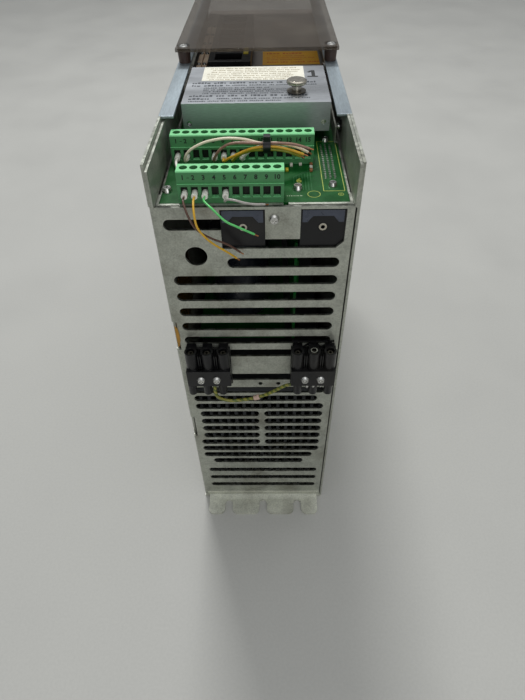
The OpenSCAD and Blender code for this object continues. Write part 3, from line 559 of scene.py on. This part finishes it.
class Shape:
    """Mesh under construction, in millimetres."""

    def __init__(self):
        self.mesh = bmesh.new()

    def box(self, x, y, z):
        made = bmesh.ops.create_cube(self.mesh, size=1)["verts"]
        low, high = Vector((x[0], y[0], z[0])), Vector((x[1], y[1], z[1]))
        for v in made:
            v.co = (low + high) / 2 + Vector(c * s for c, s in zip(v.co, high - low))

    def lathe(self, profile, centre, axis="Z", sides=28, closed=False):
        """Turns (radius, height) pairs about an axis through the centre."""
        turn, middle = AXES[axis], Vector(centre)
        rings = []
        for r, h in profile:
            rings.append([self.mesh.verts.new(middle + turn @ Vector(
                (r * math.cos(a * math.tau / sides), r * math.sin(a * math.tau / sides), h)))
                for a in range(sides)])
        pairs = list(zip(rings, rings[1:])) + ([(rings[-1], rings[0])] if closed else [])
        for low, high in pairs:
            for k in range(sides):
                self.mesh.faces.new((low[k], low[(k + 1) % sides], high[(k + 1) % sides], high[k]))
        if not closed:
            self.mesh.faces.new(rings[0][::-1])
            self.mesh.faces.new(rings[-1])

    def plate(self, outline, y):
        """Outline of (x, z) points, extruded along Y."""
        ends = [[self.mesh.verts.new((x, at, z)) for x, z in outline] for at in y]
        self.mesh.faces.new(ends[0][::-1])
        self.mesh.faces.new(ends[1])
        for k in range(len(outline)):
            n = (k + 1) % len(outline)
            self.mesh.faces.new((ends[0][k], ends[0][n], ends[1][n], ends[1][k]))

    def stroke(self, a, b, width, z, thick=PRINT_THICK):
        """Flat printed line from a to b."""
        a, b = Vector(a), Vector(b)
        side = (b - a).orthogonal().normalized() * width / 2
        corners = [a - side, b - side, b + side, a + side]
        low, high = ([self.mesh.verts.new((c.x, c.y, h)) for c in corners] for h in (z, z + thick))
        self.mesh.faces.new(low[::-1])
        self.mesh.faces.new(high)
        for k in range(4):
            n = (k + 1) % 4
            self.mesh.faces.new((low[k], low[n], high[n], high[k]))

    def text(self, word, centre, size, upright=False):
        """Digits, flat on the top or standing on a face that looks along -Y."""
        curve = bpy.data.curves.new("digits", "FONT")
        curve.body = word
        curve.size = size
        curve.extrude = PRINT_THICK / 2
        curve.offset = size * 0.03
        curve.resolution_u = 3
        curve.align_x = curve.align_y = "CENTER"
        source = bpy.data.objects.new("digits", curve)
        scene.collection.objects.link(source)
        bpy.context.view_layer.update()
        made = bpy.data.meshes.new_from_object(source.evaluated_get(bpy.context.evaluated_depsgraph_get()))
        turn = Matrix.Rotation(math.radians(90), 4, "X") if upright else Matrix.Identity(4)
        made.transform(Matrix.Translation(centre) @ turn)
        self.mesh.from_mesh(made)
        bpy.data.objects.remove(source)
        bpy.data.meshes.remove(made)

    def turned(self, place, degrees, axis):
        """Turns the shape about the origin, then moves it to a place."""
        self.mesh.transform(Matrix.Translation(place) @ Matrix.Rotation(math.radians(degrees), 4, axis))

    def piece(self, name, body, slot, look, bevel=0.0, smooth_shade=False):
        """Makes the shape a piece on a body, with the named finish. The slot argument is not used."""
        bmesh.ops.recalc_face_normals(self.mesh, faces=self.mesh.faces)
        self.mesh.transform(Matrix.Scale(MM, 4))
        mesh = bpy.data.meshes.new(name)
        self.mesh.to_mesh(mesh)
        self.mesh.free()
        mesh.materials.append(FINISHES[look])
        made = bpy.data.objects.new(name, mesh)
        scene.collection.objects.link(made)
        if bevel or smooth_shade:
            for face in mesh.polygons:
                face.use_smooth = True
        if bevel:
            edges = made.modifiers.new("edges", "BEVEL")
            edges.width = bevel * MM
            edges.segments = 2
            edges.limit_method = "ANGLE"
            made.modifiers.new("normals", "WEIGHTED_NORMAL").keep_sharp = True
        elif smooth_shade:
            mesh.set_sharp_from_angle(angle=math.radians(40))
        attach(made, body)


# ---------- terminal strips: numbers, ledge under them, clamps in the openings darkened as painted shade ---

STRIPS = {"x5": (15, "rear_plug"), "x6": (10, "near_plug")}
PLUG_MARGIN = 1.6
FACE_SETBACK = 0.8
DIGIT_SIZE = 3.3
CLAMP_HALF = 1.7


def add_strip_detail(strip, poles, body):
    low, high = span(strip + "_plug")
    pitch = (high.x - low.x - PLUG_MARGIN) / poles
    face = low.y + FACE_SETBACK
    numbers, ledge, clamps = Shape(), Shape(), Shape()
    for i in range(1, poles + 1):
        x = (low.x + high.x) / 2 + (i - (poles + 1) / 2) * pitch
        numbers.text(str(i), (x - 0.2, face + 0.68, high.z - 3.1), DIGIT_SIZE, upright=True)
        clamps.box((x - CLAMP_HALF, x + CLAMP_HALF), (face + 1.7, face + 7.45), (low.z + 0.75, low.z + 5.85))
    dash = low.x + PLUG_MARGIN / 2 + pitch
    numbers.box((dash - 0.7, dash + 0.5), (face + 0.66, face + 0.71), (high.z - 3.3, high.z - 3.0))
    numbers.piece(strip + "_numbers", body, "chip_black", "ink")
    ledge.box((low.x + 0.1, high.x - 0.1), (face - 0.25, face + 0.6), (low.z + 6.9, low.z + 7.25))
    ledge.piece(strip + "_ledge_line", body, "terminal_green", "terminal_green", bevel=0.1)
    # Clamp colour: painted shade of the openings
    clamps.piece(strip + "_clamps", body, "dark_steel", "clamp_painted_shade", bevel=0.1)


for strip_name, (strip_poles, strip_body) in STRIPS.items():
    add_strip_detail(strip_name, strip_poles, strip_body)


# ---------- terminal board: printed lines, small parts, solder and tracks ----------

BOARD_NEAR, BOARD_TOP = span("terminal_board")[0].y, span("terminal_board")[1].z
# Printed frame around the board connector: left, right, and from and to along the board
FRAME_X = (35.5, 46.3)
FRAME_Y = (BOARD_NEAR + 10.8, BOARD_NEAR + 69)
MARKS_X = (16.4, 24.5)
SOLDER_X = (37.5, 40.05, 42.6)
SOLDER_ROWS = 16
SOLDER_PITCH = 2.54
SOLDER_MIDDLE = BOARD_NEAR + 43.6
TRACKS = 7


def ring_line(shape, centre, radius, width):
    """Printed circle on the board."""
    turns = [k * math.tau / 24 for k in range(25)]
    dots = [(centre[0] + radius * math.cos(a), centre[1] + radius * math.sin(a)) for a in turns]
    for a, b in zip(dots, dots[1:]):
        shape.stroke(a, b, width, BOARD_TOP)


def add_board_print():
    silk = Shape()
    (left, right), (near, far) = FRAME_X, FRAME_Y
    corners = [(left, near), (right, near), (right, far), (left, far)]
    for a, b in zip(corners, corners[1:] + corners[:1]):
        silk.stroke(a, b, 0.35, BOARD_TOP)
    ring_line(silk, (30.3, BOARD_NEAR + 7.7), 3.2, 0.3)
    ring_line(silk, (44.0, BOARD_NEAR + 7.4), 1.3, 0.3)
    ring_line(silk, (44.0, BOARD_NEAR + 7.4), 0.5, 0.25)
    silk.text("6", (23.2, BOARD_NEAR + 21.9, BOARD_TOP + 0.02), 6.0)
    silk.piece("board_silk", "housing", "board_green", "silk")


def add_board_marks():
    """Row of dashes that stands for a line of small print."""
    marks = Shape()
    draw = random.Random(4)
    y = BOARD_NEAR + 6.2
    x, last = MARKS_X
    while x < last:
        step = draw.uniform(0.4, 1.3)
        marks.stroke((x, y), (x + step, y), 0.45, BOARD_TOP)
        x += step + 0.5
    marks.piece("board_marks", "housing", "board_green", "silk_white")


def add_board_parts():
    for look, spots in {
        "resistor_brown": [(30.6, 39.9), (30.2, 32.6)],
        "white_part": [(19.7, 39.1), (24.7, 40.1), (30.4, 36)],
        "yellow_cap": [(17.2, 33.5)],
    }.items():
        parts = Shape()
        for x, y in spots:
            parts.box((x - 0.8, x + 0.8), (BOARD_NEAR + y - 1.3, BOARD_NEAR + y + 1.3),
                      (BOARD_TOP, BOARD_TOP + 1.1))
        parts.piece("board_" + look, "housing", "ceramic_white", look, bevel=0.15)


def add_solder_joints():
    joints = Shape()
    for x in SOLDER_X:
        for i in range(SOLDER_ROWS):
            y = SOLDER_MIDDLE + (i - (SOLDER_ROWS - 1) / 2) * SOLDER_PITCH
            joints.lathe([(0.66, 0.0), (0.6, 0.14), (0.42, 0.5), (0.34, 0.85)], (x, y, BOARD_TOP), sides=12)
    joints.piece("solder_joints", "housing", "tin", "tin", smooth_shade=True)


def add_tracks():
    """Tracks that run side by side from the near strip, then slant to the right."""
    tracks = Shape()
    for k in range(TRACKS):
        x, bend = 20.5 + k * 1.5, BOARD_NEAR + 26 + k
        tracks.stroke((x, BOARD_NEAR + 12), (x, bend), 0.5, BOARD_TOP, 0.02)
        tracks.stroke((x, bend), (x + 5.5, bend + 5.5), 0.5, BOARD_TOP, 0.02)
    tracks.piece("board_tracks", "housing", "board_green", "track_green")


add_board_print()
add_board_marks()
add_board_parts()
add_solder_joints()
add_tracks()


# ---------- module: label, printed lines, number and side screws ----------

MODULE_LOW, MODULE_HIGH = span("module_case")
LABEL_THICK = 0.12


def print_rows(shape, rows, z, draw):
    """Rows of small bars that stand for printed lines: y, first x, last x, height."""
    for y, first, last, height in rows:
        x = first
        while x < last:
            for _ in range(draw.randint(2, 8)):
                wide, tall = height * draw.uniform(0.35, 0.8), height * draw.choice((0.7, 1.0))
                shape.stroke((x, y - (height - tall) / 2), (x + wide, y - (height - tall) / 2), tall, z)
                x += wide + height * 0.2
            x += height * 0.7


def add_module_print():
    far, top = MODULE_HIGH.y, MODULE_HIGH.z
    draw = random.Random(7)
    label = Shape()
    label.box((-33.4, 29.4), (far - 25.4, far - 0.6), (top, top + LABEL_THICK))
    label.piece("module_label", "module", "module_alu", "label_cream", bevel=0.03)
    fine = Shape()
    lines = [(far - 4 - k * 3.3, -31 + draw.uniform(0, 5), 24 - draw.uniform(0, 10), 1.1) for k in range(7)]
    print_rows(fine, lines, top + LABEL_THICK, draw)
    fine.piece("label_lines", "module", "module_alu", "label_print")

    rows = Shape()
    print_rows(rows, [
        (far - 29.2, -38.4, 36, 2.5), (far - 33.6, -38.3, -24, 2.5), (far - 33.4, -18, 36, 1.6),
        (far - 37.6, -31, 9, 1.5), (far - 40.6, -31, 18, 1.5), (far - 43.4, -31, 18, 1.5),
        (far - 46.2, -31, 19, 1.5), (far - 50, -38.3, 16, 2.5), (far - 54.4, -38.3, -27, 2.5),
        (far - 54.4, -22, 29, 1.6), (far - 58, -38, 15, 1.5)], top, draw)
    rows.piece("module_print", "module", "module_alu", "print_grey")


def add_module_number():
    """Large 1 with a foot and a slanted flag, beside the label."""
    far, top = MODULE_HIGH.y, MODULE_HIGH.z
    number = Shape()
    number.box((33.9, 36.1), (far - 19.6, far - 9), (top, top + 0.04))
    number.box((31.2, 37.6), (far - 21, far - 19.2), (top, top + 0.05))
    number.stroke((31.9, far - 12.6), (34.2, far - 9.9), 1.8, top)
    number.piece("module_number", "module", "chip_black", "ink")


def add_module_screws():
    """Recessed screws in the near wall; the left one sits deeper."""
    inset, z = 3.6, 306
    screws = Shape()
    for x, depth in ((MODULE_LOW.x + inset, 1.6), (MODULE_HIGH.x - inset, 0.3)):
        screws.lathe([(1.45, depth + 1), (1.45, depth), (0.5, depth - 0.05), (0.45, depth + 0.4)],
                     (x, MODULE_LOW.y, z), "Y", 20)
    screws.piece("module_side_screws", "module", "screw_steel", "screw_steel", smooth_shade=True)


def add_module_guide():
    """Bent strip that guides the module along the right wall."""
    left, along = MODULE_HIGH.x + 3.4, (MODULE_LOW.y + 0.6, MODULE_HIGH.y - 2)
    guide = Shape()
    guide.box((left, left + 1.0), along, (294, 303))
    guide.box((left, left + 2.4), along, (293.6, 294.2))
    guide.piece("module_guide", "housing", "zinc_sheet", "zinc_sheet", bevel=0.2)


def add_wall_screw():
    """Pan head in a black grommet, on the inside of the right wall."""
    centre = (49.4, MODULE_LOW.y + 3, 302.5)
    grommet, pan = Shape(), Shape()
    grommet.lathe([(3.4, 0.15), (3.4, 0.9), (2.9, 1.3), (1.8, 1.3)], centre, "-X", 24)
    grommet.piece("wall_grommet", "housing", "black_moulding", "black_moulding", smooth_shade=True)
    pan.lathe([(2.1, 1.3), (2.0, 2.2), (1.4, 2.7), (0.6, 2.75), (0.5, 2.3)], centre, "-X", 20)
    pan.piece("wall_screw", "housing", "screw_steel", "screw_steel", smooth_shade=True)


add_module_print()
add_module_number()
add_module_screws()
add_module_guide()
add_wall_screw()


# ---------- front plate: label and small parts, seen under the cover's edge ----------

PLATE_TOP = span("front_plate")[1].z
PLATE_LABEL_THICK = 0.15
BUS_BARS_X = (-41.9, -38)
BUS_BAR_SCREWS_Y = (-8, 16, 40, 64, 88)
BUS_BARS_RISE = 7.5


def add_plate_label():
    label, rows = Shape(), Shape()
    label.box((2.8, 45.6), (14, 46), (PLATE_TOP, PLATE_TOP + PLATE_LABEL_THICK))
    label.piece("plate_label", "housing", "plate_grey", "label_orange", bevel=0.04)
    print_rows(rows, [(20, 6, 40, 2.4), (25.5, 6, 32, 1.6), (30, 6, 40, 1.6), (34.5, 10, 36, 1.6),
                      (40.5, 6, 28, 3)], PLATE_TOP + PLATE_LABEL_THICK, random.Random(11))
    rows.piece("plate_label_print", "housing", "plate_grey", "orange_print")


def add_plate_parts():
    cap, studs, stud = Shape(), Shape(), Shape()
    cap.box((-9.9, -6.5), (-14, -1), (PLATE_TOP + 15, PLATE_TOP + 16.2))
    cap.piece("terminal_cap", "housing", "black_moulding", "yellow_cap", bevel=0.3)
    for x in BUS_BARS_X:
        for y in BUS_BAR_SCREWS_Y:
            studs.lathe([(1.4, 0), (1.4, 0.7), (1.1, 1.1), (0.5, 1.1), (0.5, 0.7)],
                        (x, y, PLATE_TOP + BUS_BARS_RISE), sides=20)
    studs.piece("bus_bar_screws", "housing", "screw_steel", "screw_steel", smooth_shade=True)
    stud.lathe([(1.7, 0), (1.7, 6), (1.3, 6.8), (0.4, 7)], (47.1, -3.7, PLATE_TOP), sides=20)
    stud.piece("plate_stud", "housing", "screw_steel", "screw_steel", smooth_shade=True)


add_plate_label()
add_plate_parts()


# ---------- underside: socket blocks, film, supply connectors, jumper sleeve ----------

SOCKETS_X = (-6.1, 34.9)
SOCKETS_Z = 280.9
# Rim over a socket block, down to its shoulders
RIM_TOP, RIM_SHOULDER, RIM_LEG = 290.8, 287.4, 283.9
TOWERS = 3
TOWER_PITCH = 10.1


def add_socket_detail():
    """Metal rings in the sockets, and the raised frame above each."""
    rings, frames = Shape(), Shape()
    face = span("socket_blocks")[0].y
    for x in SOCKETS_X:
        frames.plate([(x - 10.7, RIM_TOP), (x + 10.5, RIM_TOP), (x + 10.5, RIM_LEG), (x + 7.9, RIM_LEG),
                      (x + 5.1, RIM_SHOULDER), (x - 5.3, RIM_SHOULDER), (x - 8.1, RIM_LEG),
                      (x - 10.7, RIM_LEG)], (face - 0.5, face + 0.1))
        rings.lathe([(1.1, 0), (2.0, 0), (2.15, 0.15), (2.15, 3), (1.1, 3)], (x, face - 0.1, SOCKETS_Z), "Y",
                    closed=True)
    rings.piece("socket_rings", "housing", "nickel", "nickel", smooth_shade=True)
    frames.piece("socket_frames", "housing", "black_moulding", "moulding_painted_sheen", bevel=0.2)


def add_film_tab():
    """End of the insulating film, bent out through the slot in the corner."""
    film = Shape()
    film.plate([(-51, 194.6), (-49.8, 196.4), (-48.9, 200.5), (-48.8, 206), (-49.4, 211.4), (-51, 213.6)],
               (-177.5, -177.1))
    film.piece("film_tab", "housing", "amber_film", "film_lit", bevel=0.1)


def add_supply_contacts():
    """Contact tubes in the towers and contact tips at the legs."""
    contacts, tips = Shape(), Shape()
    for node in ("supply_inlet", "supply_outlet"):
        low, high = span(node)
        for k in range(TOWERS):
            contacts.lathe([(0.9, 0), (1.75, 0), (1.75, 9.4), (0.9, 9.4)],
                           (high.x - 24.2 + k * TOWER_PITCH, low.y + 5, 187.2), sides=20, closed=True)
    for x, z in ((-37, 168.6), (-27.2, 169.6), (31.4, 166.4), (35.4, 166.8), (40.3, 167.2)):
        tips.lathe([(0.8, 0), (1.0, 0.3), (1.0, 2.2), (0.7, 2.5)], (x, -187, z), sides=14)
    contacts.piece("supply_contacts", "housing", "dark_steel", "dark_steel", smooth_shade=True)
    tips.piece("supply_tips", "housing", "screw_steel", "screw_steel", smooth_shade=True)


def add_outlet_detail():
    """Ring over a tower of the outlet, and the zigzag ribs behind the towers."""
    ring, ribs = Shape(), Shape()
    ring.lathe([(1.6, 0), (2.15, 0), (2.15, 0.5), (1.6, 0.5)], (34.7, -184, 198), closed=True)
    ring.piece("outlet_ring", "housing", "screw_steel", "screw_steel", smooth_shade=True)
    bends = [(22.5, 199.5), (28, 195), (34, 199.5), (39.5, 195), (46, 199.5)]
    for a, b in zip(bends, bends[1:]):
        ribs.stroke(a, b, 0.7, 0, 1.1)
    ribs.stroke((21, 200), (47.5, 200), 0.8, 0, 1.1)
    ribs.turned((0, -177, 0), 90, "X")
    ribs.piece("outlet_ribs", "housing", "black_moulding", "black_moulding")


def add_jumper_sleeve():
    """Crimp sleeve in the middle of the earth jumper."""
    sleeve = Shape()
    sleeve.lathe([(1.15, -2), (1.6, -2), (1.8, -1.7), (1.8, 1.7), (1.6, 2), (1.15, 2)], (0, 0, 0), "X",
                 closed=True)
    sleeve.turned((-2, -186, 154.6), -20, "Y")
    sleeve.piece("jumper_sleeve", "housing", "ferrule_ivory", "sleeve_pink", smooth_shade=True)


add_socket_detail()
add_film_tab()
add_supply_contacts()
add_outlet_detail()
add_jumper_sleeve()
